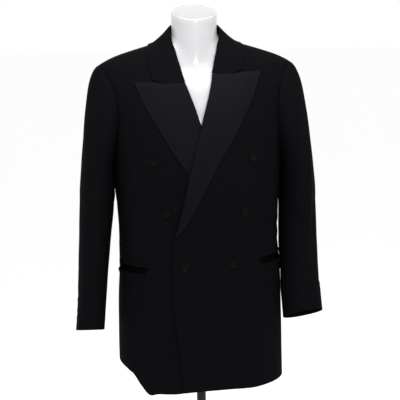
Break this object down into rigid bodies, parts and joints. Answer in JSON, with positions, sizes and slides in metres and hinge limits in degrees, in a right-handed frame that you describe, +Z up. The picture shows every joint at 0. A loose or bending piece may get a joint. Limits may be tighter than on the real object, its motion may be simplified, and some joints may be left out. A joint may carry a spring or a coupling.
{
  "type": "double-breasted blazer on a torso dress form",
  "caption": "Black double-breasted evening blazer with satin peak lapels, worn open-necked by a limbless glossy torso form on a pole with a round base.",
  "frame": {"origin": "on the floor under the middle of the round base plate, in line with the pole", "axes": "+Z up along the pole; the blazer faces -Y, so the wearer's left, and the sleeve that overlaps, is +X"},
  "size_m": [0.6094, 0.36, 1.5551],
  "materials": {
    "wool": "matt fine black wool",
    "satin": "black satin with a soft sheen",
    "button": "polished black, rimmed, sewn through holes",
    "form": "glossy white",
    "stand": "satin black"
  },
  "bodies": {
    "root": {"front_left": "wool", "front_right": "wool", "side_panel_left": "wool", "side_panel_right": "wool", "back_left": "wool", "back_right": "wool", "sleeve_upper_left": "wool", "sleeve_upper_right": "wool", "sleeve_under_left": "wool", "sleeve_under_right": "wool", "collar": "wool", "pocket_jet_upper_left": "wool", "pocket_jet_lower_left": "wool", "pocket_jet_upper_right": "wool", "pocket_jet_lower_right": "wool", "lapel_left": "satin", "lapel_right": "satin", "button_top_left": "button", "button_top_right": "button", "button_middle_left": "button", "button_middle_right": "button", "button_low_left": "button", "button_low_right": "button", "cuff_button_1_left": "button", "cuff_button_2_left": "button", "cuff_button_3_left": "button", "cuff_button_1_right": "button", "cuff_button_2_right": "button", "cuff_button_3_right": "button", "torso_form": "form", "pole": "stand", "base_socket": "stand", "base_plate": "stand"}
  },
  "joints": []
}
